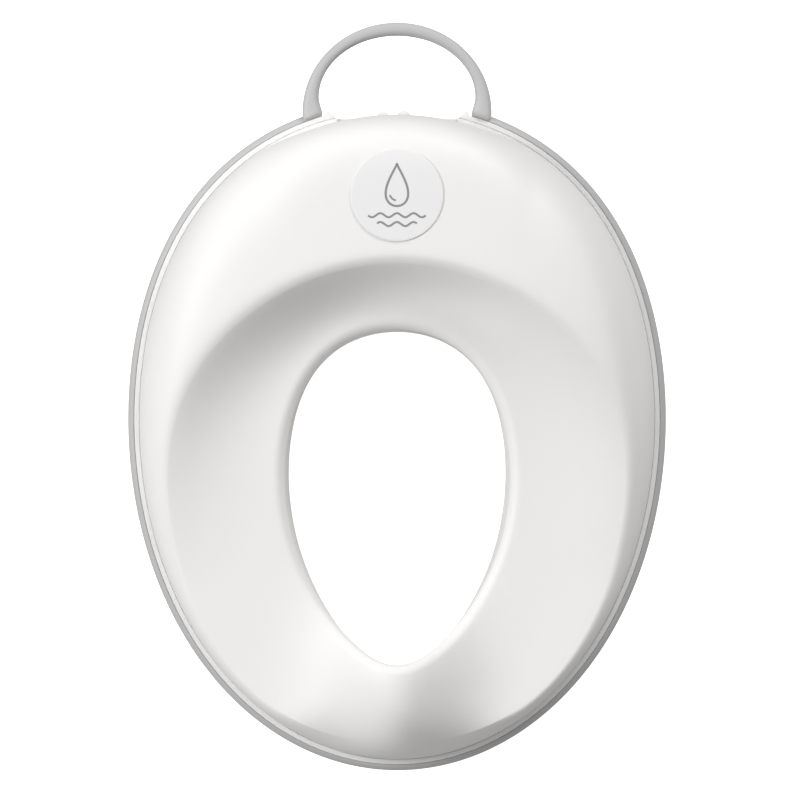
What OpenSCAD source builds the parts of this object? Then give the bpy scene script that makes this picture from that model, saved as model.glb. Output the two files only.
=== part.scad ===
// Toilet training seat: a moulded egg-shaped child seat that lies on an adult toilet seat.
// Millimetres. +X right, +Y towards the back (handle), +Z up. The toilet seat's top is z = rim_z.

/* [Outline] */
// Width over the grip rim
rim_w = 290; // [280:1:300]
// Length over the grip rim, taken round the back as if it were whole
rim_l = 362; // [352:1:370]
// Width of the soft grip rim seen from above
rim_t = 3.5; // [2.5:0.5:5]
// Width of the frame lip inside the grip rim
lip_t = 2.7; // [2:0.1:4]
// Half width of the finger recess at the back
recess_x = 32.6; // [28:0.2:38]

/* [Seat surface] */
// Height of the hole edge above the rim plane, at the front and sides
hole_h = 29; // [24:1:36]
// Extra height of the hole edge at the back
hole_rise = 8; // [0:1:12]
// Height of the back shelf above the hole edge
shelf_drop = 28; // [18:1:34]
// Height of the front splash guard above the hole edge
guard_h = 32; // [20:1:45]
// Half width of the splash guard
guard_w = 34; // [28:1:50]
// Radius of the hole edge
edge_r = 6; // [4:0.5:8]
// Wall thickness of the shell
wall = 2.4; // [2:0.1:3]

/* [Frame] */
// Depth of the locating skirt below the rim plane
rim_z = 34; // [26:1:40]
// Thickness of the frame plate
plate_t = 2; // [1.6:0.2:3]
// Thickness of the soft flap under the plate
flap_t = 1.2; // [0.8:0.2:2]
// Number of stiffening ribs inside the skirt
rib_n = 14; // [8:2:20]

/* [Handle] */
// Height of the hoop's section
hoop_h = 7.2; // [6:0.2:9]

/* [Adjuster] */
// Radius over the dial's lobes
dial_r = 36.2; // [34:0.1:36.5]
// Number of lobes on the dial
lobe_n = 18; // [12:1:24]
// Teeth on the pinion
pinion_n = 12; // [10:1:14]
// Tooth module
module_mm = 2; // [1.5:0.25:2.5]
// How far the slide moves back
travel = 26; // [20:1:28]
// Radial running clearance of the dial on its post
run_gap = 0.06; // [0.02:0.01:0.1]

/* [Badge] */
// Diameter of the round badge
badge_d = 48.5; // [40:0.5:52]
// How far the badge stands proud
badge_up = 0.7; // [0.2:0.05:1]

/* [Hidden] */
$fn = 96;
eps = 0.3;                              // clearance between parts that move on each other
seg = 72;                               // steps round the egg outlines
plate_z = rim_z + flap_t;               // underside of the frame plate
deck = plate_z + plate_t;               // top of the frame plate
edge_z = deck + 2;                      // top of the lip and of the shell's narrow edge
white = [0.93, 0.93, 0.92];
grey = [0.62, 0.63, 0.64];
steel = [0.72, 0.73, 0.75];
DX = 0;                                 // dial axis
DY = 117;
post_r = 5;
dial_z = 42;                            // bottom of the dial's rim
hub_z = 50;                             // top of the dial's hub
post_z = 51.25;                         // top of the post

// ---- Egg outlines: [centre y, half width, half length, k1, k2, k3] ----
rim_e = [-20.6, rim_w / 2, rim_l / 2, 0.0436, 0.061, 0.028];
wall_e = [-20.6, rim_w / 2 - 9, rim_l / 2 - 9, 0.0436, 0.061, 0.028];
crest_e = [-57.2, 120.2, 126.7, 0.096, 0.05, -0.117];
hole_e = [-52.5, 59.4, 88, 0.124, -0.015, 0.091];
foot_e = [-57, 58.5, 92.5, 0.17, -0.02, 0.15];
collar_e = [-56.8, 59.5, 92.3, 0.127, 0, 0.10];
skirt_e = [-34, 99, 122, 0, 0, 0];

// Point of an outline at angle t (0 = back), grown outwards by g.
function egg(e, t, g = 0) = let(c = cos(t))
    [(e[1] + g) * sin(t) * (1 + e[3] * c + e[4] * c * c + e[5] * c * c * c), e[0] + (e[2] + g) * c];
function smooth(x, a, b) = let(u = max(0, min(1, (x - a) / (b - a)))) u * u * (3 - 2 * u);
function smin(a, b, k) = -k * ln(exp(-a / k) + exp(-b / k));
function unit(v) = v / norm(v);
// The outer wall comes down beside the lip, but at the back it stays clear of the dial's lobes.
function spread(t) = 2.3 * (1 - smooth(cos(t), 0.86, 0.97));

// Height of the hole edge and of the step up to the shelf, by angle.
function h_hole(t) = hole_h + hole_rise * pow((1 + cos(t)) / 2, 1.5);
function h_step(t) = 3 + (shelf_drop - 3) * smooth(cos(t), -0.38, 1);
// Splash guard: a ridge along the centre line that rises towards the front of the hole.
function h_guard(x, y) = guard_h * exp(-pow(abs(x) / guard_w, 2)) * smooth(-y, 75, 150);

// Seat surface. w runs 0 at the hole, 1 at the crest, 2 at the foot of the outer wall.
function seat(t, w) = let(
    c = cos(t), u = min(w, 1), v = max(w - 1, 0),
    h = egg(hole_e, t, edge_r), m = egg(crest_e, t), o = egg(wall_e, t, spread(t)),
    q = w < 1 ? h + (m - h) * u : m + (o - m) * v,
    d1 = norm(m - h), d2 = norm(o - m),
    uu = min(w < 1 ? u : 1 + v * d2 / d1, 1.8),
    low = h_hole(t), step = h_step(t),
    base = smin(low + step * pow(uu, 2.1 + 0.5 * smooth(c, 0.8, 1)), low + step,
        0.4 + 2.8 * smooth(c, -0.4, 0.5) + 0.8 * smooth(c, 0.5, 1)),
    s = (u * d1 + v * d2) / (d1 + d2),
    f = smooth(-c, 0.84, 1),
    r = min(1, v * (1 - f) + s * f),
    p = 2.4 + 2.8 * smooth(c, 0.3, 1) + 4.8 * smooth(c, 0.86, 1),
    top = rim_z + base + h_guard(q[0], q[1]))
    [q[0], q[1], edge_z + (top - edge_z) * pow(1 - pow(r, p), 0.55)];
// The same surface moved inwards by the wall thickness.
function under(t, w) = let(
    a = seat(t + 1, w) - seat(t - 1, w),
    b = seat(t, min(w + 0.01, 2)) - seat(t, max(w - 0.01, 0)),
    n = unit(cross(a, b)), p = seat(t, w))
    w > 1.999 ? concat(egg(wall_e, t, spread(t) - wall), edge_z) : p + wall * n * (n[2] > 0 ? -1 : 1);
// Hole edge fillet of radius r about the same centre, phi 0 = top, 90 = wall.
function lipfil(t, r, phi) = let(z = seat(t, 0)[2] - edge_r, g = edge_r - r * sin(phi))
    concat(egg(hole_e, t, g), z + r * cos(phi));
function foot_z(t) = 6 + 14 * smooth(-cos(t), 0, 1);

// One closed section of the shell, outside first.
function shell_ring(t) = let(no = 11, ni = 9, uo = 7, ui = 5, nf = 4) concat(
    [concat(egg(wall_e, t, 2.6), deck), concat(egg(wall_e, t, 2.6), edge_z)],
    [for (i = [no:-1:0]) seat(t, 1 + sin(90 * i / no))],
    [for (i = [ni - 1:-1:0]) seat(t, sin(90 * i / ni))],
    [for (i = [1:nf]) lipfil(t, edge_r, 90 * i / nf)],
    [concat(egg(foot_e, t), foot_z(t)), concat(egg(foot_e, t, wall), foot_z(t))],
    [for (i = [2:-1:0]) lipfil(t, edge_r - wall, 45 * i)],
    [for (i = [1:ui]) under(t, sin(90 * i / ui))],
    [for (i = [1:uo]) under(t, 1 + sin(90 * i / uo))],
    [concat(egg(wall_e, t, spread(t) - wall), deck)]);

// A solid through a list of equal sections; closed makes a ring, otherwise the ends are capped.
module skin(rings, closed = true) {
    n = len(rings);
    m = len(rings[0]);
    sides = [for (i = [0:closed ? n - 1 : n - 2]) for (j = [0:m - 1])
        let(a = i * m, b = ((i + 1) % n) * m, k = (j + 1) % m)
        each [[a + j, b + j, b + k], [a + j, b + k, a + k]]];
    caps = closed ? [] : [[for (j = [0:m - 1]) j], [for (j = [m - 1:-1:0]) (n - 1) * m + j]];
    polyhedron([for (r = rings) each r], concat(sides, caps));
}
module outline(e, g = 0, n = 2 * seg) polygon([for (i = [0:n - 1]) egg(e, 360 * i / n, g)]);
module band(e, outer, inner, h) linear_extrude(h) difference() {
    outline(e, outer);
    outline(e, inner);
}
module at_z(z) translate([0, 0, z]) children();
module mirrored() { children(); mirror([1, 0, 0]) children(); }
// Recess between the handle feet, with its corners cut off at 45 degrees.
module recess(h) linear_extrude(h) polygon([[-recess_x, 149.8],
    [-recess_x - 8, 157.8], [-recess_x - 8, 175], [recess_x + 8, 175], [recess_x + 8, 157.8],
    [recess_x, 149.8]]);

// Screw places: shell screws by seat coordinates, keeper screws on the two keepers.
boss_at = [for (a = [[30, 0.2], [90, 0.35], [125, 0.35]]) each
    [seat(a[0], a[1]), seat(360 - a[0], a[1])]];
keeper_at = [[62, 76], [62, 114], [-62, 76], [-62, 114]];

// Pan head screw pointing up from z = 0 (head below) or down, with a cross recess.
module pan_screw(head_r, head_h, shank_r, len) difference() {
    union() {
        at_z(-head_h) cylinder(r = head_r, h = head_h - 0.6);
        at_z(-0.6) cylinder(r = head_r * 0.96, h = 0.6);
        cylinder(r = shank_r, h = len - 1.5);
        at_z(len - 1.5) cylinder(r1 = shank_r, r2 = 0.5, h = 1.5);
    }
    for (a = [0, 90]) rotate(a) translate([-head_r * 0.62, -0.35, -head_h - 1])
        cube([head_r * 1.24, 0.7, 2]);
}

// ---- Fixed pieces ----
module seat_shell() color(white) difference() {
    union() {
        skin([for (i = [0:seg - 1]) shell_ring(360 * i / seg)]);
        for (b = boss_at) translate([b[0], b[1], deck]) cylinder(r = 4.5, h = b[2] - wall + 0.9 - deck);
    }
    for (b = boss_at) translate([b[0], b[1], deck - 1]) cylinder(r = 1.6, h = 17);
    // dial window in the back wall
    translate([-recess_x + 0.2, 140, deck - 1]) cube([2 * recess_x - 0.4, 30, 14.8]);
    translate([-recess_x + 4.2, 140, deck - 1]) cube([2 * recess_x - 8.4, 30, 18.8]);
    mirrored() translate([recess_x - 4.2, 140, deck + 13.8]) rotate([-90, 0, 0]) cylinder(r = 4, h = 30);
    badge_place() at_z(-0.8) cylinder(d = badge_d + 0.3, h = 4);
}

// The frame the badge lies in: on the back shelf, leaning with it.
module badge_place() translate([0, 105, seat(0, 1 + 35.5 / 81.9)[2]]) rotate([-1.3, 0, 0]) children();

module under_frame() color(white) difference() {
    union() {
        at_z(plate_z) band(rim_e, -rim_t - 0.16, -200, plate_t);
        at_z(deck - 0.01) band(rim_e, -rim_t - 0.16, -rim_t - lip_t, edge_z - deck + 0.01);
        // the lip runs a little wider where the soft rim stops short of the recess
        at_z(plate_z) intersection() {
            band(rim_e, -1.9, -rim_t - lip_t, edge_z - plate_z);
            translate([-39, 100, -1]) cube([78, 80, 20]);
        }
        band(skirt_e, 0, -2.4, plate_z + 0.01);
        at_z(plate_z - 6) band(collar_e, 5.4, 3.2, 6.01);
        // ribs between the collar and the skirt
        at_z(plate_z - 5) intersection() {
            band(skirt_e, -1, -200, 5.01);
            for (i = [0:rib_n - 1]) translate([0, -45, 0]) rotate(360 * (i + 0.5) / rib_n)
                translate([0, -0.9, 0]) cube([150, 1.8, 5.01]);
        }
        // post and thrust ring for the dial, bosses under the keeper screws
        translate([DX, DY, deck - 0.01]) cylinder(r = post_r, h = post_z - deck + 0.01);
        for (k = keeper_at) translate([k[0], k[1], plate_z - 1.1]) cylinder(r = 4, h = 1.2);
        for (b = boss_at) translate([b[0], b[1], plate_z - 1.5]) cylinder(r = 5.5, h = 1.6);
    }
    at_z(-1) linear_extrude(rim_z + 20) outline(collar_e, 3.2);
    at_z(plate_z - 2) recess(10);
    translate([DX, DY, deck - 6]) cylinder(r = 1.55, h = 30);
    for (k = keeper_at) translate([k[0], k[1], 20]) cylinder(r = 1.45, h = 30);
    for (b = boss_at) translate([b[0], b[1], 20]) cylinder(r = 2.2, h = 30);
    mirrored() at_z(plate_z - 3) leg_window(10);
    mirrored() translate([46, 134, plate_z - 1]) cylinder(r = 3.15, h = 5);
}

// Slot that one leg of the slide moves along.
module leg_window(h) linear_extrude(h) difference() {
    intersection() {
        translate([0, travel]) circle(r = 98.6);
        translate([16.6, 60]) square([35, 80]);
    }
    circle(r = 90.8);
}

// Soft rim: a rounded bead round the lip and a flap under the plate.
rim_t0 = 18.9;
bead = [[-1.0, 0], [-0.3, 0.3], [0, 1.0], [-0.35, 2.2], [-1.0, 3.3], [-1.8, 4.1], [-2.7, 4.7],
    [-rim_t, 4.8], [-rim_t, flap_t]];
function rim_ring(t) = let(g = -4 - 10 * smooth(min(t, 360 - t), rim_t0 + 0.5, rim_t0 + 7)) concat(
    [concat(egg(rim_e, t, g), rim_z)],
    [for (b = bead) concat(egg(rim_e, t, b[0]), rim_z + b[1])],
    [concat(egg(rim_e, t, g), rim_z + flap_t)]);
module grip_rim() color(grey)
    skin([for (i = [0:seg]) rim_ring(rim_t0 + (360 - 2 * rim_t0) * i / seg)], false);

// Carrying hoop: outer and inner ellipses joined by rounded sections, feet on the rim.
function hoop_pair(a) = [[51 * cos(a), 153.2 + 48.4 * sin(a)], [42.1 * cos(a), 161.3 + 33.1 * sin(a)]];
hoop_foot = [[[50.6, 148.0], [40.3, 151.5]], [[50.8, 149.6], [39.8, 153.4]],
    [[51.0, 151.6], [41.3, 158.0]]];
function flip(p) = [[-p[0][0], p[0][1]], [-p[1][0], p[1][1]]];
hoop_line = concat(hoop_foot, [for (i = [0:30]) hoop_pair(6 * i)],
    [for (i = [2:-1:0]) flip(hoop_foot[i])]);
function hoop_ring(p) = let(m = (p[0] + p[1]) / 2, d = (p[0] - p[1]) / 2, n = 16)
    [for (i = [0:n - 1]) let(a = -360 * i / n, c = cos(a), s = sin(a))
        concat(m + d * sign(c) * pow(abs(c), 0.85), rim_z + 4 + hoop_h / 2 * sign(s) * pow(abs(s), 0.85))];
module handle() color(grey) {
    skin([for (p = hoop_line) hoop_ring(p)], false);
    mirrored() translate([41.6, 130, rim_z]) cube([7.2, 22, flap_t - 0.05]);
    mirrored() translate([46, 134, rim_z + 0.5]) cylinder(r = 3, h = plate_t + flap_t - 0.6);
}

module badge_disc() color(white) badge_place() at_z(-0.8) {
    cylinder(d = badge_d, h = 0.8 + badge_up - 0.2);
    at_z(0.6 + badge_up) cylinder(d1 = badge_d, d2 = badge_d - 0.5, h = 0.2);
}

module front_pad() color(grey) at_z(8) linear_extrude(22) polygon(concat(
    [for (i = [0:20]) egg(skirt_e, 155 + 2.5 * i, 2.6)],
    [for (i = [20:-1:0]) egg(skirt_e, 155 + 2.5 * i, 0.02)]));

module shell_screw(i) color(steel) translate([boss_at[i][0], boss_at[i][1], plate_z - 1.5])
    pan_screw(3.6, 2.4, 1.55, 16);
module shell_screw_1() shell_screw(0);
module shell_screw_2() shell_screw(1);
module shell_screw_3() shell_screw(2);
module shell_screw_4() shell_screw(3);
module shell_screw_5() shell_screw(4);
module shell_screw_6() shell_screw(5);

// Keeper: a strip with a lip over the edge of the slide.
module keeper() difference() {
    union() {
        translate([56.4, 68, deck]) cube([11, 54, 2.7]);
        translate([50, 68, deck + 2.6]) cube([17.4, 54, 2.4]);
    }
    for (k = [76, 114]) translate([62, k, deck - 1]) cylinder(r = 1.7, h = 10);
}
module keeper_right() color(white) keeper();
module keeper_left() color(white) mirror([1, 0, 0]) keeper();
module keeper_screw(i) color(steel) translate([keeper_at[i][0], keeper_at[i][1], deck + 5])
    rotate([180, 0, 0]) pan_screw(3, 2, 1.4, 7.8);
module keeper_screw_1() keeper_screw(0);
module keeper_screw_2() keeper_screw(1);
module keeper_screw_3() keeper_screw(2);
module keeper_screw_4() keeper_screw(3);

module dial_screw() color(steel) translate([DX, DY, post_z + 0.8]) rotate([180, 0, 0])
    pan_screw(3.6, 2.4, 1.5, 12);
module flat_washer() color(steel) translate([DX, DY, post_z]) difference() {
    cylinder(r = 8, h = 0.8);
    at_z(-1) cylinder(r = 1.7, h = 3);
}
// Three waves of thin spring steel between the hub and the flat washer.
function wave_ring(a) = let(z = hub_z + 0.62 + 0.42 * cos(3 * a))
    [for (p = [[5.5, -0.15], [7.7, -0.15], [7.7, 0.15], [5.5, 0.15]])
        [DX + p[0] * cos(a), DY + p[0] * sin(a), z + p[1]]];
module wave_washer() color(steel) skin([for (i = [0:47]) wave_ring(7.5 * i)]);

// ---- Dial body ----
pitch_r = module_mm * pinion_n / 2;
base_r = pitch_r * cos(20);
tooth_t = PI * module_mm / 2 - 0.3;     // tooth thickness on the pitch line, less the play
function inv(a) = tan(a) * 180 / PI - a;
function half_ang(r) = tooth_t / (2 * pitch_r) * 180 / PI + inv(20) - inv(acos(min(1, base_r / r)));
module pinion2d() polygon([for (k = [0:pinion_n - 1]) let(a = 360 * k / pinion_n,
    flank = concat([pitch_r - 1.25 * module_mm],
        [for (i = [0:6]) base_r + (pitch_r + module_mm - base_r) * i / 6]))
    each concat([for (r = flank) let(h = half_ang(max(r, base_r))) r * [cos(a - h), sin(a - h)]],
        [for (i = [7:-1:0]) let(r = flank[i], h = half_ang(max(r, base_r))) r * [cos(a + h), sin(a + h)]])]);
module dial() color(white) translate([DX, DY, 0]) difference() {
    union() {
        // lobed rim
        at_z(dial_z) linear_extrude(11) difference() {
            union() {
                circle(r = dial_r - 2.4);
                for (k = [0:lobe_n - 1]) rotate(83.5 + 360 * k / lobe_n)
                    translate([dial_r - 4, 0]) circle(r = 4);
            }
            circle(r = dial_r - 6.5);
        }
        // web, hub and ribs
        at_z(hub_z - 2.4) cylinder(r = dial_r - 6, h = 2.4);
        at_z(deck + eps + 3.9) cylinder(r = 8.4, h = hub_z - deck - eps - 4.5);
        for (k = [0:5]) rotate(60 * k + 30) translate([6.5, -0.9, dial_z + 1.5])
            cube([dial_r - 12.4, 1.8, 5]);
        at_z(deck + eps) linear_extrude(4) pinion2d();
    }
    at_z(deck - 1) cylinder(r = post_r + run_gap, h = 30);
}

// ---- Slide body ----
slide_z = deck + eps;
rack_x = pitch_r + 1.25 * module_mm;
module rack2d() {
    tip = pitch_r - 1.3;
    translate([rack_x, 79.5]) square([5.6, 42]);
    for (k = [0:6]) let(y = DY + PI * module_mm * (0.5 - k), a = tooth_t / 2, b = (rack_x - pitch_r) * tan(20),
        c = 1.3 * tan(20)) polygon([[rack_x + 0.01, y - a - b], [tip, y - a + c], [tip, y + a - c],
            [rack_x + 0.01, y + a + b]]);
}
module adjuster_slide() color(white) {
    at_z(slide_z) linear_extrude(2) difference() {
        translate([-56, 62]) square([112, 36]);
        translate([-16, 74.6]) square([16 + rack_x, 40]);
        // finger slot that lightens the plate
        mirrored() translate([30, 68]) square([14, 3]);
    }
    at_z(slide_z) linear_extrude(4) rack2d();
    mirrored() at_z(4) linear_extrude(slide_z - 3.9) difference() {
        intersection() {
            circle(r = 95);
            translate([18, 60]) square([32, 40]);
        }
        circle(r = 92);
    }
    // gussets behind the legs' roots
    mirrored() for (x = [24, 34, 44]) translate([x - 0.9, sqrt(92.5 * 92.5 - x * x) - 8, slide_z]) cube([1.8, 8, 3.6]);
}
module slide_pad() at_z(8) linear_extrude(22) difference() {
    intersection() {
        circle(r = 97.6);
        translate([20, 60]) square([28, 50]);
    }
    circle(r = 95.04);
}
module slide_pad_right() color(grey) slide_pad();
module slide_pad_left() color(grey) mirror([1, 0, 0]) slide_pad();

seat_shell();
under_frame();
grip_rim();
handle();
badge_disc();
dial();
dial_screw();
wave_washer();
flat_washer();
adjuster_slide();
slide_pad_left();
slide_pad_right();
keeper_left();
keeper_right();
keeper_screw_1();
keeper_screw_2();
keeper_screw_3();
keeper_screw_4();
front_pad();
shell_screw_1();
shell_screw_2();
shell_screw_3();
shell_screw_4();
shell_screw_5();
shell_screw_6();
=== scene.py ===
"""Toilet training seat: an egg-shaped child seat that lies on an adult toilet seat.

Laid out as an add-on and run as a script. Each piece has its own operator; main() runs them in order.
Metres; +X right, +Y back (the handle), +Z up. Outlines are given in millimetres and scaled once, in
`to_mesh`. The camera looks straight down on the seat.
"""

import math

import bmesh
import bpy
import numpy as np
from bpy.props import FloatProperty, FloatVectorProperty, IntProperty, PointerProperty
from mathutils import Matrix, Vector


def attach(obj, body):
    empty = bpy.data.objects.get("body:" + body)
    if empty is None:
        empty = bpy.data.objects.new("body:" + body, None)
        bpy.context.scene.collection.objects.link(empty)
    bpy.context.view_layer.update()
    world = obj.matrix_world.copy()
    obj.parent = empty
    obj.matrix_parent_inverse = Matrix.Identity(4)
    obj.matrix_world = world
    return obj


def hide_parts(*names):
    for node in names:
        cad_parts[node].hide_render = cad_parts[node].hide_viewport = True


bl_info = {
    "name": "Toilet Training Seat",
    "version": (1, 0, 0),
    "blender": (4, 5, 0),
    "location": "View3D > Sidebar > Training Seat",
    "description": "Moulded training seat with a soft rim, a carrying hoop and a dial adjuster",
    "category": "Object",
}

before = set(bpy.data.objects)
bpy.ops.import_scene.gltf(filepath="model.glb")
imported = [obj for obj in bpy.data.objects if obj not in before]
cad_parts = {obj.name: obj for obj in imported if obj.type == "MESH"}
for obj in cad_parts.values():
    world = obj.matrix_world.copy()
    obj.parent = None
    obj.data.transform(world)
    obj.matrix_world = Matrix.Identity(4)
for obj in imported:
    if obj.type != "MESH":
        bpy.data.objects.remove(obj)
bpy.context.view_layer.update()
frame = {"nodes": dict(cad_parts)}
MM = 0.001

# Places in millimetres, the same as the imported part's
BADGE_Y = 105.0  # middle of the badge on the back shelf
DIAL_Y = 117  # axis of the dial
TONGUE_X, TONGUE_Y = 46, 134  # buttons of the hoop's tongues
WALL_INSET = 9  # from the rim's outline in to the outer wall's
PLATE_TOP = 3.2  # top of the frame's plate over the rim plane
LIP_RISE = 2.0  # top of the frame's lip over its plate
WASHER_Z = 50.62  # middle height of the wave washer

LATHE_STEPS = 48  # steps round bosses and buttons
BADGE_STEPS = 160  # steps round the badge
WASHER_STEPS = 180  # steps round the wave washer
CAMERA_RISE = 1.8  # camera over the rim plane, in metres


def linear(code):
    """sRGB hex code to linear RGB: c / 12.92 up to 0.04045, above it ((c + 0.055) / 1.055) ^ 2.4."""
    values = [int(code[i : i + 2], 16) / 255 for i in (0, 2, 4)]
    return [c / 12.92 if c <= 0.04045 else ((c + 0.055) / 1.055) ** 2.4 for c in values]


# ---------------------------------------------------------------------------
# Sizes and finishes that a user would change
# ---------------------------------------------------------------------------


def length(name, description, value):
    """A size in metres, shown with its unit."""
    return FloatProperty(
        name=name, description=description, default=value, subtype="DISTANCE", unit="LENGTH", precision=5
    )


def colour(name, description, code):
    """A colour, given as an sRGB hex code."""
    return FloatVectorProperty(
        name=name, description=description, default=linear(code), subtype="COLOR", min=0, max=1
    )


class SeatSizes(bpy.types.PropertyGroup):
    """Sizes of the training seat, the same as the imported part's."""

    rim_width: length("Rim width", "Width over the soft grip rim", 0.290)
    rim_length: length("Rim length", "Length of the egg outline over the soft rim", 0.362)
    rim_plane: length("Rim plane", "Height of the toilet seat's top over the skirt's lower edge", 0.034)
    hole_height: length("Hole edge", "Height of the hole's edge over the rim plane at the front", 0.029)
    hole_rise: length("Hole rise", "Extra height of the hole's edge at the back", 0.008)
    shelf_step: length("Shelf step", "Step from the hole's edge up to the back shelf", 0.028)
    guard_height: length("Guard height", "Height of the splash guard over the hole's edge", 0.032)
    guard_width: length("Guard width", "Half width of the splash guard", 0.034)
    edge_radius: length("Edge radius", "Radius of the hole's rolled edge", 0.006)
    wall: length("Wall", "Wall thickness of the moulded shell", 0.0024)
    hoop_height: length("Hoop height", "Height of the carrying hoop's section", 0.0072)
    badge: length("Badge", "Diameter of the round badge", 0.0485)
    badge_raise: length("Badge raise", "How far the badge stands proud", 0.0007)
    steps: IntProperty(
        name="Steps", description="Steps round the egg outline", default=384, min=72, max=480
    )


class SeatFinish(bpy.types.PropertyGroup):
    """Colours of the training seat's finishes."""

    shell: colour("Shell", "Satin moulded polypropylene", "E9E8E6")
    frame: colour("Frame", "Moulded polypropylene of the frame", "E8E7E6")
    soft: colour("Soft grey", "Soft elastomer of rim, hoop and pads", "B8B8B8")
    badge: colour("Badge", "Smooth disc under the print", "E6E5E6")
    ink: colour("Print", "Grey printing ink", "8E8E91")
    dial: colour("Dial", "Moulded acetal of dial and slide", "E8E8E6")
    steel: colour("Steel", "Bright zinc plating", "C9CBCE")


def sizes():
    """The sizes by name, the lengths in millimetres, for the outline functions."""
    group = bpy.context.scene.training_seat_sizes
    found = {k: getattr(group, k) for k in SeatSizes.__annotations__}
    return {k: value if k == "steps" else value * 1000 for k, value in found.items()}


# ---------------------------------------------------------------------------
# Outlines and the seat surface, in millimetres
# ---------------------------------------------------------------------------


def outlines():
    """Egg outlines as (centre y, half width, half length, k1, k2, k3)."""
    s = sizes()
    a, b = s["rim_width"] / 2, s["rim_length"] / 2
    return {
        "rim": (-20.6, a, b, 0.0436, 0.061, 0.028),
        "wall": (-20.6, a - WALL_INSET, b - WALL_INSET, 0.0436, 0.061, 0.028),
        "crest": (-57.2, 120.2, 126.7, 0.096, 0.05, -0.117),
        "hole": (-52.5, 59.4, 88.0, 0.124, -0.015, 0.091),
        "foot": (-57.0, 58.5, 92.5, 0.17, -0.02, 0.15),
    }


def egg(outline, t, grow=0.0):
    """Egg outline: x = (A + g) sin t (1 + k1 c + k2 c^2 + k3 c^3), y = y0 + (B + g) c.

    c = cos t, and t = 0 at the back.
    """
    y0, a, b, k1, k2, k3 = outline
    c = np.cos(t)
    x = (a + grow) * np.sin(t) * (1 + k1 * c + k2 * c**2 + k3 * c**3)
    return np.stack(np.broadcast_arrays(x, y0 + (b + grow) * c), -1)


def smooth(x, a, b):
    """Smooth step: 0 up to a, 1 from b on, 3u^2 - 2u^3 between."""
    u = np.clip((x - a) / (b - a), 0, 1)
    return u * u * (3 - 2 * u)


def smooth_min(a, b, k):
    """Smooth minimum: -k ln(exp(-a/k) + exp(-b/k))."""
    return -k * np.logaddexp(-a / k, -b / k)


def spread(t):
    """How far out the wall comes down: 2.3 mm, beside the lip, and not at all at the back, by the dial."""
    return 2.3 * (1 - smooth(np.cos(t), 0.86, 0.97))


def on_edge(outline, t, z, grow=0.0):
    """Points of an outline at height z."""
    xy = egg(outline, t, grow)
    return np.concatenate([xy, np.broadcast_to(np.asarray(z, float), xy.shape[:-1])[..., None]], -1)


def seat(t, w):
    """Seat surface over angle t and span w (0 hole, 1 crest, 2 foot of the outer wall).

    Plan: straight spans from the hole's egg to the crest's and on to the wall's. Height: hole edge plus a
    step that grows as a power of the span and is capped by a smooth minimum, plus a Gaussian ridge along
    the front centre line for the splash guard, all rolled down to the rim by (1 - r^p)^0.55.
    """
    s, o = sizes(), outlines()
    t, w = np.broadcast_arrays(np.asarray(t, float), np.asarray(w, float))
    c, u, v = np.cos(t), np.minimum(w, 1), np.maximum(w - 1, 0)
    hole, crest = egg(o["hole"], t, s["edge_radius"]), egg(o["crest"], t)
    wall = egg(o["wall"], t, spread(t))
    inner, outer = hole + (crest - hole) * u[..., None], crest + (wall - crest) * v[..., None]
    xy = np.where((w < 1)[..., None], inner, outer)
    d1, d2 = np.linalg.norm(crest - hole, axis=-1), np.linalg.norm(wall - crest, axis=-1)
    reach = np.minimum(np.where(w < 1, u, 1 + v * d2 / d1), 1.8)
    low = s["hole_height"] + s["hole_rise"] * ((1 + c) / 2) ** 1.5
    step = 3 + (s["shelf_step"] - 3) * smooth(c, -0.38, 1)
    bowl = 2.1 + 0.5 * smooth(c, 0.8, 1)
    soften = 0.4 + 2.8 * smooth(c, -0.4, 0.5) + 0.8 * smooth(c, 0.5, 1)
    base = smooth_min(low + step * reach**bowl, low + step, soften)
    ridge = s["guard_height"] * np.exp(-((xy[..., 0] / s["guard_width"]) ** 2))
    ridge = ridge * smooth(-xy[..., 1], 75, 150)
    front = smooth(-c, 0.84, 1)
    r = np.clip(v * (1 - front) + (u * d1 + v * d2) / (d1 + d2) * front, 0, 1)
    p = 2.4 + 2.8 * smooth(c, 0.3, 1) + 4.8 * smooth(c, 0.86, 1)
    foot = edge_height()
    z = foot + (s["rim_plane"] + base + ridge - foot) * (1 - r**p) ** 0.55
    return np.concatenate([xy, z[..., None]], -1)


def deck_height():
    """Top of the frame's plate: rim plane plus the soft flap and the plate."""
    return sizes()["rim_plane"] + PLATE_TOP


def edge_height():
    """Top of the frame's lip and of the shell's narrow edge."""
    return deck_height() + LIP_RISE


def inside(t, w, depth):
    """Seat surface moved inwards along its normal, the cross product of its two slopes."""
    a = seat(t + 2e-3, w) - seat(t - 2e-3, w)
    b = seat(t, np.minimum(w + 2e-3, 2)) - seat(t, np.maximum(w - 2e-3, 0))
    n = np.cross(a, b)
    n /= np.linalg.norm(n, axis=-1, keepdims=True)
    return seat(t, w) - depth * n * np.sign(n[..., 2:])


# ---------------------------------------------------------------------------
# Meshes
# ---------------------------------------------------------------------------


def quads(rows, cols, ring_rows, ring_cols, turn=False):
    """Faces of a rows x cols grid of points, closed round either way if asked."""
    i = np.arange(rows if ring_rows else rows - 1)[:, None]
    j = np.arange(cols if ring_cols else cols - 1)[None, :]
    i2, j2 = (i + 1) % rows, (j + 1) % cols
    q = np.stack([i * cols + j, i * cols + j2, i2 * cols + j2, i2 * cols + j], -1).reshape(-1, 4)
    return q[:, ::-1] if turn else q


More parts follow.
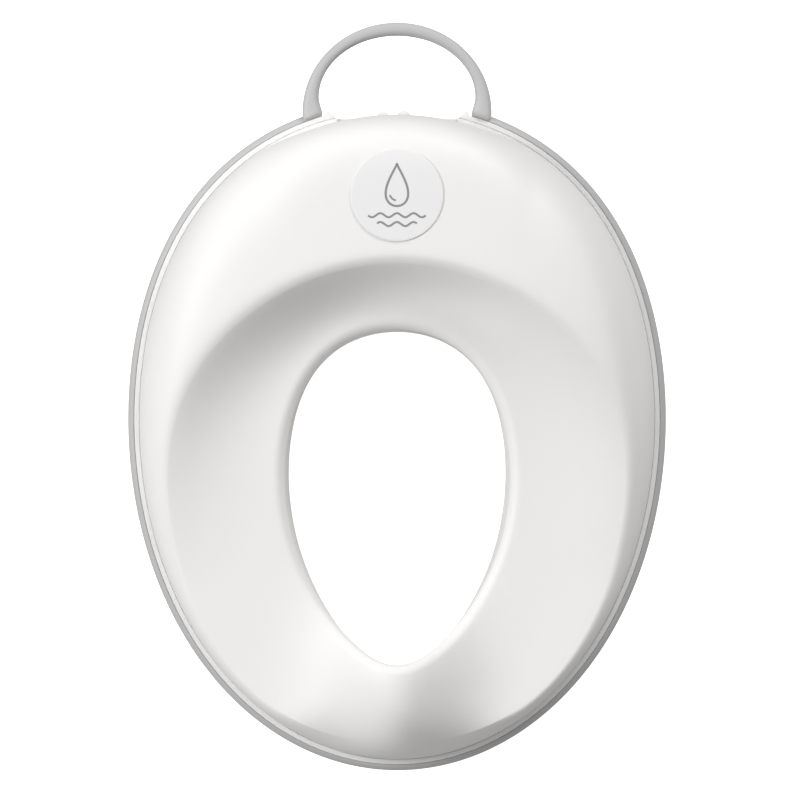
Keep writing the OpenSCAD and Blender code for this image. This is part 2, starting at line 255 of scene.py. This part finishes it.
def to_mesh(name, parts, materials, angle=32):
    """One mesh object from parts of (points in mm, faces, material number), smooth up to `angle`."""
    verts, faces, numbers, start = [], [], [], 0
    for points, part_faces, number in parts:
        points = np.asarray(points, float).reshape(-1, 3)
        verts.append(points * MM)
        faces += [[int(k) + start for k in f] for f in part_faces]
        numbers += list(np.broadcast_to(number, len(part_faces)))
        start += len(points)
    mesh = bpy.data.meshes.new(name)
    mesh.from_pydata(np.concatenate(verts), [], faces)
    for m in materials:
        mesh.materials.append(m)
    mesh.polygons.foreach_set("material_index", np.array(numbers, np.int32))
    mesh.polygons.foreach_set("use_smooth", np.ones(len(mesh.polygons), bool))
    mesh.validate()
    mesh.update()
    mesh.set_sharp_from_angle(angle=math.radians(angle))
    piece = bpy.data.objects.new(name, mesh)
    bpy.context.scene.collection.objects.link(piece)
    return piece


def lathe(profile, centre):
    """Surface of revolution: profile points (radius, height) carried round +Z at `centre`."""
    a = np.linspace(0, 2 * np.pi, LATHE_STEPS, endpoint=False)[:, None]
    r, z = np.array(profile, float).T
    points = np.stack(np.broadcast_arrays(centre[0] + r * np.cos(a), centre[1] + r * np.sin(a), z), -1)
    return points, quads(LATHE_STEPS, len(profile), True, False, turn=True)


def settle(piece, body, slot, *nodes):
    """The piece rides on a body and stands for its CAD nodes, which are hidden; slot is not used."""
    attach(piece, body)
    if nodes:
        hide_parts(*nodes)
    return piece


def carve(piece, cutter):
    """Cuts `cutter` out of the piece and removes it."""
    tool = piece.modifiers.new("cut", "BOOLEAN")
    tool.operation, tool.solver, tool.object = "DIFFERENCE", "MANIFOLD", cutter
    bpy.context.view_layer.update()
    cut = bpy.data.meshes.new_from_object(piece.evaluated_get(bpy.context.evaluated_depsgraph_get()))
    piece.modifiers.clear()
    old, piece.data = piece.data, cut
    bpy.data.meshes.remove(old)
    bpy.data.objects.remove(cutter)
    cut.polygons.foreach_set("use_smooth", np.ones(len(cut.polygons), bool))
    cut.set_sharp_from_angle(angle=math.radians(32))


def moulded(node, body, slot, material, edge=0.35, angle=35):
    """A copy of a CAD node, merged to whole faces, with its sharp edges rounded by `edge` mm."""
    bm = bmesh.new()
    bm.from_mesh(frame["nodes"][node].data)
    bmesh.ops.remove_doubles(bm, verts=bm.verts, dist=2e-6)
    bmesh.ops.dissolve_limit(bm, angle_limit=math.radians(0.4), verts=bm.verts, edges=bm.edges)
    limit = math.radians(angle)
    sharp = [e for e in bm.edges if len(e.link_faces) == 2 and e.calc_face_angle(0) > limit]
    bmesh.ops.bevel(
        bm, geom=sharp, offset=edge * MM, segments=2, profile=0.6, affect="EDGES", clamp_overlap=True
    )
    mesh = bpy.data.meshes.new(node + "_moulded")
    bm.to_mesh(mesh)
    bm.free()
    mesh.polygons.foreach_set("use_smooth", np.ones(len(mesh.polygons), bool))
    mesh.set_sharp_from_angle(angle=math.radians(28))
    mesh.materials.append(material)
    piece = bpy.data.objects.new(node + "_moulded", mesh)
    bpy.context.scene.collection.objects.link(piece)
    return settle(piece, body, slot, node)


# ---------------------------------------------------------------------------
# Materials
# ---------------------------------------------------------------------------


def add(tree, kind, links=None, **settings):
    """Adds a shader node, sets its attributes or inputs by name and links inputs to other outputs."""
    node = tree.nodes.new(kind)
    for key, value in settings.items():
        if key in node.bl_rna.properties:
            setattr(node, key, value)
        else:
            node.inputs[key.replace("_", " ")].default_value = value
    for key, (source, output) in (links or {}).items():
        tree.links.new(source.outputs[output], node.inputs[key])
    return node


def finish(name, base, rough, grain, depth, drift=0.03, metallic=0.0, ior=1.49, **sockets):
    """A moulded or plated finish.

    base: linear colour; drift: how much it wanders over 60 mm; rough: low and high roughness;
    grain: size in mm of the mould's texture, drawn as coarse as it needs to show; depth: its height in mm.
    """
    known = bpy.data.materials.get(name)
    if known:
        return known
    material = bpy.data.materials.new(name)
    material.use_nodes = True
    tree = material.node_tree
    shader = tree.nodes["Principled BSDF"]
    place = add(tree, "ShaderNodeTexCoord")
    where = {"Vector": (place, "Object")}
    cloud = add(tree, "ShaderNodeTexNoise", where, Scale=1 / 0.060, Detail=3.0)
    fine = add(tree, "ShaderNodeTexNoise", where, Scale=1 / (grain * MM), Detail=2.0, Roughness=0.6)
    tint = add(tree, "ShaderNodeMix", {"Factor": (cloud, "Fac")}, data_type="RGBA")
    ends = {"A": [c * (1 - drift) for c in base] + [1], "B": list(base) + [1]}
    for socket in (s for s in tint.inputs if s.type == "RGBA" and s.enabled):
        socket.default_value = ends[socket.name]
    gloss = add(tree, "ShaderNodeMapRange", {"Value": (fine, "Fac")}, To_Min=rough[0], To_Max=rough[1])
    bump = add(tree, "ShaderNodeBump", {"Height": (fine, "Fac")}, Strength=0.5, Distance=depth * MM)
    result = next(s for s in tint.outputs if s.type == "RGBA" and s.enabled)
    tree.links.new(result, shader.inputs["Base Color"])
    tree.links.new(gloss.outputs["Result"], shader.inputs["Roughness"])
    tree.links.new(bump.outputs["Normal"], shader.inputs["Normal"])
    shader.inputs["Metallic"].default_value = metallic
    if not metallic:
        shader.inputs["IOR"].default_value = ior
    for key, value in sockets.items():
        shader.inputs[key.replace("_", " ")].default_value = value
    return material


def colours():
    """The finish colours that the panel shows."""
    return bpy.context.scene.training_seat_finish


def polypropylene(part="shell"):
    """Injection-moulded polypropylene, polished then lightly spark-textured.

    Bright and faintly milky, with broad satin highlights.
    """
    name = {"shell": "satin moulded polypropylene", "frame": "moulded polypropylene frame"}[part]
    return finish(
        name,
        getattr(colours(), part),
        (0.50, 0.58),
        0.7,
        0.012,
        drift=0.015,
        Specular_IOR_Level=0.4,
        Subsurface_Weight=0.12,
        Subsurface_Radius=(0.0035, 0.0032, 0.0030),
        Subsurface_Scale=1.0,
    )


def rough_polypropylene():
    """The same polypropylene off a coarser spark-eroded core: the matt inner face of the splash wall."""
    return finish("spark-eroded polypropylene", colours().shell, (0.55, 0.68), 0.9, 0.05, drift=0.02)


def elastomer():
    """Soft thermoplastic elastomer moulded over the frame: matt mid grey with a dry bloom."""
    return finish(
        "moulded soft elastomer",
        colours().soft,
        (0.50, 0.62),
        0.8,
        0.03,
        drift=0.04,
        Sheen_Weight=0.15,
        Sheen_Roughness=0.5,
    )


def badge_plastic():
    """Polished ABS disc: smoother and a little glossier than the shell round it."""
    return finish("polished ABS disc", colours().badge, (0.36, 0.38), 3.0, 0.0015, drift=0.006, ior=1.5)


def ink():
    """Pad-printed grey ink: flat and slightly uneven in density."""
    return finish("pad-printed ink", colours().ink, (0.45, 0.6), 0.8, 0.003, drift=0.08)


def acetal():
    """Moulded acetal of the dial and slide: harder and slicker than the shell."""
    return finish("moulded acetal", colours().dial, (0.28, 0.36), 0.9, 0.01, drift=0.02, ior=1.48)


def zinc_steel():
    """Zinc-plated steel: bright grey metal with a fine uneven bloom from the plating bath."""
    return finish("zinc-plated steel", colours().steel, (0.24, 0.40), 0.5, 0.006, drift=0.12, metallic=1.0)


# ---------------------------------------------------------------------------
# Operators: one for each piece or group of like pieces
# ---------------------------------------------------------------------------


class SEAT_OT_shell(bpy.types.Operator):
    """Moulded seat: dished surface, back shelf, splash guard, rolled hole edge and splash wall"""

    bl_idname = "training_seat.shell"
    bl_label = "Seat shell"

    def execute(self, context):
        s, o = sizes(), outlines()
        t = np.linspace(0, 2 * np.pi, s["steps"], endpoint=False)
        edge, deck, wall, r = edge_height(), deck_height(), s["wall"], s["edge_radius"]
        top = seat(t, 0.0)[..., 2]
        foot = 6 + 14 * smooth(-np.cos(t), 0, 1)
        arc = np.linspace(0, np.pi / 2, 14)
        # narrow flat edge in the frame's rebate, its outer corner rounded by 0.15 mm, its inner one filled
        rows = [on_edge(o["wall"], t, deck, 2.62)]
        for a in (0, 0.6, 1.1, math.pi / 2):
            rows.append(on_edge(o["wall"], t, edge - 0.15 + 0.15 * math.sin(a), 2.47 + 0.15 * math.cos(a)))
        for g, lift in ((0.2, 0.0), (0.12, 0.06), (0.05, 0.2)):
            rows.append(on_edge(o["wall"], t, edge + lift, spread(t) + g))
        rows += [seat(t, 1 + math.sin(a)) for a in np.linspace(math.radians(88.6), 0, 50)]
        rows += [seat(t, math.sin(a)) for a in np.linspace(math.pi / 2, 0, 46)[1:]]
        rows += self.rolled(o["hole"], t, top - r, r, r, arc[1:])
        # parting line under the rolled edge, the splash wall with its draft, and its rounded lower edge
        split = len(rows)
        rows += [on_edge(o["hole"], t, top - r - d, g) for d, g in ((0.15, 0.22), (0.55, 0.22))]
        upper = on_edge(o["hole"], t, top - r - 0.7, 0.05)
        lower = on_edge(o["foot"], t, foot + wall / 2)
        rows += [upper + (lower - upper) * k for k in np.linspace(0, 1, 9)]
        half = wall / 2
        for a in np.linspace(0, np.pi, 8)[1:-1]:
            rows.append(on_edge(o["foot"], t, foot + half - half * math.sin(a), half - half * math.cos(a)))
        lower, upper = on_edge(o["foot"], t, foot + half, wall), on_edge(o["hole"], t, top - r, wall)
        rows += [lower + (upper - lower) * k for k in np.linspace(0, 1, 5)]
        # underside: inside the rolled edge and the seat surface, and down to the frame's plate
        rows += self.rolled(o["hole"], t, top - r, r - wall, r, np.linspace(np.pi / 2, 0, 6)[1:])
        rows += [inside(t, math.sin(a), wall) for a in np.linspace(0, np.pi / 2, 12)[1:]]
        rows += [inside(t, 1 + math.sin(a), wall) for a in np.linspace(0, math.radians(84), 16)[1:]]
        rows += [on_edge(o["wall"], t, z, spread(t) - wall) for z in (edge + 1.5, deck)]
        points = np.stack(rows, 1)
        faces = quads(s["steps"], len(rows), True, True)
        column = np.tile(np.arange(len(rows)), s["steps"])
        matt = ((column >= split) & (column < split + 14)).astype(int)
        finishes = [polypropylene(), rough_polypropylene()]
        piece = to_mesh("seat_shell_moulded", [(points, faces, matt)], finishes)
        carve(piece, self.window())
        for angle, span in ((30, 0.2), (90, 0.35), (125, 0.35)):
            for sign in (1, -1):
                self.boss(seat(sign * math.radians(angle), span), deck, wall)
        settle(piece, "base", "shell_white", "seat_shell")
        return {"FINISHED"}

    def rolled(self, hole, t, middle, radius, reach, angles):
        """Rolled hole edge: arcs of `radius` about a line `reach` outside the hole at height `middle`."""
        return [
            on_edge(hole, t, middle + radius * math.cos(a), reach - radius * math.sin(a)) for a in angles
        ]

    def window(self):
        """Finger window for the dial: a rectangle with 4 mm upper corners, carried along +Y."""
        half, low, high, r = 32.4, deck_height() - 1, deck_height() + 17.8, 4.0
        a = np.linspace(0, np.pi / 2, 8)
        right = [(half - r + r * math.cos(k), high - r + r * math.sin(k)) for k in a]
        left = [(-x, z) for x, z in reversed(right)]
        loop = np.array([(-half, low), (half, low), *right, *left])
        n = len(loop)
        points = np.array([[(x, y, z) for x, z in loop] for y in (140.0, 170.0)])
        faces = quads(2, n, False, True, turn=True).tolist()
        faces += [list(range(n)), list(range(2 * n - 1, n - 1, -1))]
        return to_mesh("window_cutter", [(points, faces, 0)], [])

    def boss(self, place, low, wall):
        """Screw boss: a tube 9 mm across with a 3.2 mm pilot hole, from the frame's plate to the shell."""
        high = place[2] - wall + 0.9
        profile = [(1.6, low + 16), (1.6, low), (4.1, low), (4.5, low + 0.4), (4.5, high), (0.01, high)]
        points, faces = lathe(profile, place)
        settle(to_mesh("screw_boss", [(points, faces, 0)], [polypropylene()]), "base", "shell_white")


class SEAT_OT_frame(bpy.types.Operator):
    """Frame with its lip, plate, skirt, ribs and dial post, and the two keepers screwed to it"""

    bl_idname = "training_seat.frame"
    bl_label = "Frame and keepers"

    def execute(self, context):
        moulded("under_frame", "base", "frame_white", polypropylene("frame"), edge=0.3)
        for node in ("keeper_left", "keeper_right"):
            moulded(node, "base", "frame_white", polypropylene("frame"), edge=0.4)
        return {"FINISHED"}


class SEAT_OT_rim(bpy.types.Operator):
    """Soft grip rim: a rounded bead round the frame's lip with a flap beneath"""

    bl_idname = "training_seat.rim"
    bl_label = "Soft grip rim"

    def execute(self, context):
        s, o = sizes(), outlines()
        start = math.radians(14.6)
        t = np.linspace(start, 2 * np.pi - start, 460)
        near = np.degrees(np.minimum(t, 2 * np.pi - t))
        flap = -4 - 10 * smooth(near, 18.9, 25.4)
        z = s["rim_plane"]
        # bead: 3.5 mm wide and 4.8 mm high: a small lower nose, then a face that leans in and rounds over
        a = np.linspace(0, np.pi / 2, 12)
        nose = [(-1.0 + 1.0 * math.sin(k), 1.0 - 1.0 * math.cos(k)) for k in a]
        face = [(-3.3 * (1 - math.cos(k)) ** 0.92, 1.0 + 3.8 * math.sin(k) ** 1.1) for k in a[1:]]
        bead = [*nose, *face, (-3.42, 4.74), (-3.5, 4.55), (-3.5, 1.2)]
        rows = [on_edge(o["rim"], t, z, flap)]
        rows += [on_edge(o["rim"], t, z + h, g) for g, h in bead]
        rows += [on_edge(o["rim"], t, z + 1.2, flap)]
        m = len(rows)
        faces = quads(len(t), m, False, True).tolist()
        faces += [list(range(m - 1, -1, -1)), list(range((len(t) - 1) * m, len(t) * m))]
        piece = to_mesh("grip_rim_soft", [(np.stack(rows, 1), faces, 0)], [elastomer()], angle=50)
        settle(piece, "base", "soft_grey", "grip_rim")
        return {"FINISHED"}


class SEAT_OT_handle(bpy.types.Operator):
    """Carrying hoop with its two feet, and the tongues that button into the frame"""

    bl_idname = "training_seat.handle"
    bl_label = "Carrying hoop"

    def execute(self, context):
        s = sizes()
        a = np.radians(np.linspace(0, 180, 121))
        outer = np.stack([51 * np.cos(a), 153.2 + 48.4 * np.sin(a)], -1)
        inner = np.stack([42.1 * np.cos(a), 161.3 + 33.1 * np.sin(a)], -1)
        k = np.linspace(0, 1, 22)[:-1]
        foot_out = self.curve(k, (50.6, 147.9), (0.3, 5), (51, 153.2), (0, 5.5))
        foot_in = self.curve(k, (40.0, 151.6), (-0.5, 5), (42.1, 161.3), (0, 9))
        mirror = np.array([-1, 1])
        outer = np.concatenate([foot_out, outer, foot_out[::-1] * mirror])
        inner = np.concatenate([foot_in, inner, foot_in[::-1] * mirror])
        # the feet close in a rounded nose: half height times (1 - q^2)^0.5 over their last 2.5 mm
        q = np.clip(1 - k * 21 / 7, 0, 1)
        nose = np.sqrt(1 - (0.96 * q) ** 2)
        high = np.concatenate([nose, np.ones(121), nose[::-1]])[:, None]
        n = 40
        b = -np.linspace(0, 2 * np.pi, n, endpoint=False)[None, :]
        c, d = np.cos(b), np.sin(b)
        across = np.sign(c) * np.abs(c) ** 0.88
        up = np.sign(d) * np.abs(d) ** 0.88
        mid, half = (outer + inner) / 2, (outer - inner) / 2
        half = half * (0.86 + 0.14 * high)
        xy = mid[:, None] + half[:, None] * across[..., None]
        rise = s["hoop_height"] / 2
        z = s["rim_plane"] + 4 - rise * (1 - high) * 0.7 + rise * high * up
        points = np.concatenate([xy, z[..., None]], -1)
        faces = quads(len(points), n, False, True).tolist()
        faces += [list(range(n - 1, -1, -1)), list(range((len(points) - 1) * n, len(points) * n))]
        parts = [(points, faces, 0)]
        low = s["rim_plane"]
        for side in (1, -1):
            parts.append(self.tongue(side, low))
            profile = [(0.01, 3.1), (2.6, 3.1), (3.0, 2.7), (3.0, 0.5), (0.01, 0.5)]
            button = lathe([(r, low + h) for r, h in profile], (side * TONGUE_X, TONGUE_Y))
            parts.append((*button, 0))
        piece = to_mesh("handle_hoop", parts, [elastomer()], angle=40)
        settle(piece, "base", "soft_grey", "handle")
        return {"FINISHED"}

    def curve(self, k, p0, d0, p1, d1):
        """Cubic between two points with given end slopes, in Hermite form."""
        k = k[:, None]
        start = (2 * k**3 - 3 * k**2 + 1) * np.array(p0) + (k**3 - 2 * k**2 + k) * np.array(d0)
        return start + (3 * k**2 - 2 * k**3) * np.array(p1) + (k**3 - k**2) * np.array(d1)

    def tongue(self, side, low):
        """Flat tongue under the frame's plate: a strip 7.2 mm wide with a rounded front end."""
        a = np.linspace(np.pi, 2 * np.pi, 13)
        loop = [(45.2 + 3.6 * math.cos(k), 133.6 + 3.6 * math.sin(k)) for k in a]
        loop = np.array(loop + [(48.8, 151), (41.6, 151)])
        loop[:, 0] *= side
        n = len(loop)
        points = np.array([[(x, y, z) for x, y in loop] for z in (low, low + 1.15)])
        caps = [list(range(n - 1, -1, -1)), list(range(n, 2 * n))]
        sides = quads(2, n, False, True, turn=True).tolist()
        if side < 0:
            caps, sides = [c[::-1] for c in caps], [f[::-1] for f in sides]
        return points, sides + caps, 0


class SEAT_OT_badge(bpy.types.Operator):
    """Round raised badge that follows the back shelf, with a generic drop and waves printed on it"""

    bl_idname = "training_seat.badge"
    bl_label = "Badge and emblem"

    def execute(self, context):
        s = sizes()
        self.fit()
        radius, rise = s["badge"] / 2, s["badge_raise"]
        corner = ((0.05, 0.14), (0.15, 0.04), (0.32, 0.0))
        profile = [(radius, -0.8), (radius, rise - 0.28)]
        profile += [(radius - back, rise - down) for back, down in corner]
        profile += [(r, rise) for r in np.linspace(radius - 1.5, 0.05, 14)]
        a = np.linspace(0, 2 * np.pi, BADGE_STEPS, endpoint=False)[:, None]
        r, lift = np.array(profile).T
        points = self.lay(r * np.cos(a), r * np.sin(a), lift)
        faces = quads(BADGE_STEPS, len(profile), True, False, turn=True)
        disc = to_mesh("badge_disc_raised", [(points, faces, 0)], [badge_plastic()])
        settle(disc, "base", "badge_white", "badge_disc")
        emblem = to_mesh("badge_emblem", self.drop(rise) + self.waves(rise), [ink()])
        settle(emblem, "base", "soft_grey")
        return {"FINISHED"}

    def fit(self):
        """Least-squares polynomial z(x, y) of degree 4 through the shelf round the badge's centre."""
        t, w = np.meshgrid(np.radians(np.linspace(-16, 16, 65)), np.linspace(1.02, 1.9, 60))
        x, y, z = seat(t, w).reshape(-1, 3).T
        y = y - BADGE_Y
        near = np.hypot(x, y) < 27
        self.powers = [(i, j) for i in range(5) for j in range(5 - i)]
        self.weights = np.linalg.lstsq(self.terms(x[near], y[near]), z[near], rcond=None)[0]

    def terms(self, x, y):
        """Products x^i y^j of the fit, scaled by 25 mm."""
        return np.stack([(x / 25) ** i * (y / 25) ** j for i, j in self.powers], -1)

    def lay(self, x, y, lift):
        """Points at (x, y) from the badge's centre, `lift` above the shelf."""
        z = self.terms(x, y) @ self.weights + lift
        return np.stack(np.broadcast_arrays(x, y + BADGE_Y, z), -1)

    def stroke(self, path, width, rise, closed):
        """A flat printed line 0.03 mm thick: the path plus and minus half its width along its normal."""
        step = np.roll(path, -1, 0) - np.roll(path, 1, 0) if closed else np.gradient(path, axis=0)
        normal = np.stack([-step[:, 1], step[:, 0]], -1)
        normal /= np.linalg.norm(normal, axis=1, keepdims=True)
        across = np.array([-0.5, -0.5, 0.5, 0.5]) * width
        lift = rise + np.array([0.0, 0.03, 0.03, 0.0])
        xy = path[:, None] + normal[:, None] * across[None, :, None]
        points = self.lay(xy[..., 0], xy[..., 1], lift)
        faces = quads(len(path), 4, closed, True).tolist()
        if not closed:
            faces += [[3, 2, 1, 0], list(range(4 * len(path) - 4, 4 * len(path)))]
        return points, faces, 0

    def drop(self, rise):
        """Drop outline 12 mm wide and 22 mm tall with a point at the top, and a short arc inside."""
        a = np.linspace(0, 2 * np.pi, 120, endpoint=False)
        x = 8.2 * np.sin(a) * np.sin(a / 2) ** 1.4
        y = 5.2 + 11.0 * np.cos(a)
        b = np.linspace(math.radians(200), math.radians(262), 24)
        gleam = np.stack([3.9 * np.cos(b), 1.4 + 4.3 * np.sin(b)], -1)
        outline = np.stack([x, y], -1)
        return [self.stroke(outline, 1.2, rise, True), self.stroke(gleam, 1.0, rise, False)]

    def waves(self, rise):
        """Two cosine lines under the drop, 8.66 mm from crest to crest and 2.1 mm high."""
        lines = []
        for y, half in ((-10.6, 15.0), (-15.2, 10.4)):
            x = np.linspace(-half, half, 120)
            path = np.stack([x, y + 1.05 * np.cos(2 * np.pi * x / 8.66)], -1)
            lines.append(self.stroke(path, 1.1, rise, False))
        return lines


class SEAT_OT_adjuster(bpy.types.Operator):
    """Dial with its pinion, slide with its rack and legs, and the soft pads on the legs and skirt"""

    bl_idname = "training_seat.adjuster"
    bl_label = "Dial, slide and pads"

    def execute(self, context):
        moulded("dial", "dial", "dial_white", acetal(), edge=0.3, angle=40)
        moulded("adjuster_slide", "slide", "dial_white", acetal(), edge=0.3, angle=40)
        pads = {"slide_pad_left": "slide", "slide_pad_right": "slide", "front_pad": "base"}
        for node, body in pads.items():
            moulded(node, body, "soft_grey", elastomer(), edge=0.8)
        return {"FINISHED"}


class SEAT_OT_fasteners(bpy.types.Operator):
    """Screws and washers"""

    bl_idname = "training_seat.fasteners"
    bl_label = "Screws and washers"

    def execute(self, context):
        names = ["dial_screw", "flat_washer"]
        names += [f"keeper_screw_{i}" for i in range(1, 5)]
        names += [f"shell_screw_{i}" for i in range(1, 7)]
        for node in names:
            moulded(node, "base", "steel", zinc_steel(), edge=0.12)
        # wave washer: a ring 2.2 mm wide and 0.3 mm thick whose height follows three cosine waves
        a = np.linspace(0, 2 * np.pi, WASHER_STEPS, endpoint=False)
        z = WASHER_Z + 0.42 * np.cos(3 * a)
        lower = [(5.5, -0.11), (5.55, -0.15), (7.65, -0.15), (7.7, -0.11)]
        section = lower + [(r, -h) for r, h in reversed(lower)]
        rows = [np.stack([r * np.cos(a), DIAL_Y + r * np.sin(a), z + h], -1) for r, h in section]
        faces = quads(WASHER_STEPS, len(section), True, True, turn=True)
        piece = to_mesh("wave_washer_spring", [(np.stack(rows, 1), faces, 0)], [zinc_steel()])
        settle(piece, "base", "steel", "wave_washer")
        return {"FINISHED"}


class SEAT_OT_stage(bpy.types.Operator):
    """Pale floor, soft studio lights and a camera that looks straight down"""

    bl_idname = "training_seat.stage"
    bl_label = "Stage, lights and camera"

    def execute(self, context):
        scene = context.scene
        side = np.linspace(-3000, 3000, 9)
        x, y = np.meshgrid(side, side, indexing="ij")
        faces = quads(9, 9, False, False, turn=True)
        floor = to_mesh("floor", [(np.stack([x, y, 0 * x - 0.5], -1), faces, 0)], [self.paper()])
        # the floor is overlit to read as pure white, so its bounce is kept off the seat
        floor.visible_diffuse = floor.visible_glossy = False
        height = sizes()["rim_plane"] * MM + CAMERA_RISE
        lens = bpy.data.cameras.new("camera")
        lens.sensor_width, lens.lens = 36, 150
        lens.clip_start, lens.clip_end = 0.05, 50
        camera = bpy.data.objects.new("camera", lens)
        camera.location = (0.0016, -0.00175, height)
        scene.collection.objects.link(camera)
        scene.camera = camera
        self.area("key softbox", (-1.96, 0.35, 1.67), 1.17, 43.5)
        self.area("side softbox", (1.13, 1.95, 1.30), 1.17, 34)
        world = bpy.data.worlds.new("studio")
        world.use_nodes = True
        sky = world.node_tree.nodes["Background"]
        sky.inputs["Color"].default_value = (1, 1, 1, 1)
        sky.inputs["Strength"].default_value = 0.43
        scene.world = world
        scene.view_settings.view_transform = "Standard"
        return {"FINISHED"}

    def paper(self):
        """White background paper, lit evenly so that it reads as pure white: matt, with a faint fibre."""
        material = finish("white background paper", linear("F4F4F4"), (0.85, 0.95), 3.0, 0.02, drift=0.01)
        shader = material.node_tree.nodes["Principled BSDF"]
        shader.inputs["Emission Color"].default_value = (1, 1, 1, 1)
        shader.inputs["Emission Strength"].default_value = 0.85
        return material

    def area(self, name, place, size, power):
        """Square softbox at `place`, aimed at the middle of the seat."""
        light = bpy.data.lights.new(name, "AREA")
        light.size, light.energy = size, power
        lamp = bpy.data.objects.new(name, light)
        lamp.location = place
        aim = Vector((0, 0, 0.04)) - Vector(place)
        lamp.rotation_euler = aim.to_track_quat("-Z", "Y").to_euler()
        bpy.context.scene.collection.objects.link(lamp)


class SEAT_PT_panel(bpy.types.Panel):
    """Lists the seat's sizes, its colours and the operators that build it"""

    bl_idname = "SEAT_PT_panel"
    bl_label = "Training Seat"
    bl_space_type = "VIEW_3D"
    bl_region_type = "UI"
    bl_category = "Training Seat"

    def draw(self, context):
        for group in (context.scene.training_seat_sizes, context.scene.training_seat_finish):
            box = self.layout.box()
            for key in type(group).__annotations__:
                box.prop(group, key)
        for step in STEPS:
            self.layout.operator(step.bl_idname)


STEPS = (
    SEAT_OT_stage,
    SEAT_OT_shell,
    SEAT_OT_frame,
    SEAT_OT_rim,
    SEAT_OT_handle,
    SEAT_OT_badge,
    SEAT_OT_adjuster,
    SEAT_OT_fasteners,
)
CLASSES = (SeatSizes, SeatFinish, *STEPS, SEAT_PT_panel)


def register():
    for cls in CLASSES:
        bpy.utils.register_class(cls)
    bpy.types.Scene.training_seat_sizes = PointerProperty(type=SeatSizes)
    bpy.types.Scene.training_seat_finish = PointerProperty(type=SeatFinish)


def unregister():
    del bpy.types.Scene.training_seat_finish
    del bpy.types.Scene.training_seat_sizes
    for cls in reversed(CLASSES):
        bpy.utils.unregister_class(cls)


def main():
    register()
    for step in STEPS:
        group, name = step.bl_idname.split(".")
        getattr(getattr(bpy.ops, group), name)()


if __name__ == "__main__":
    main()
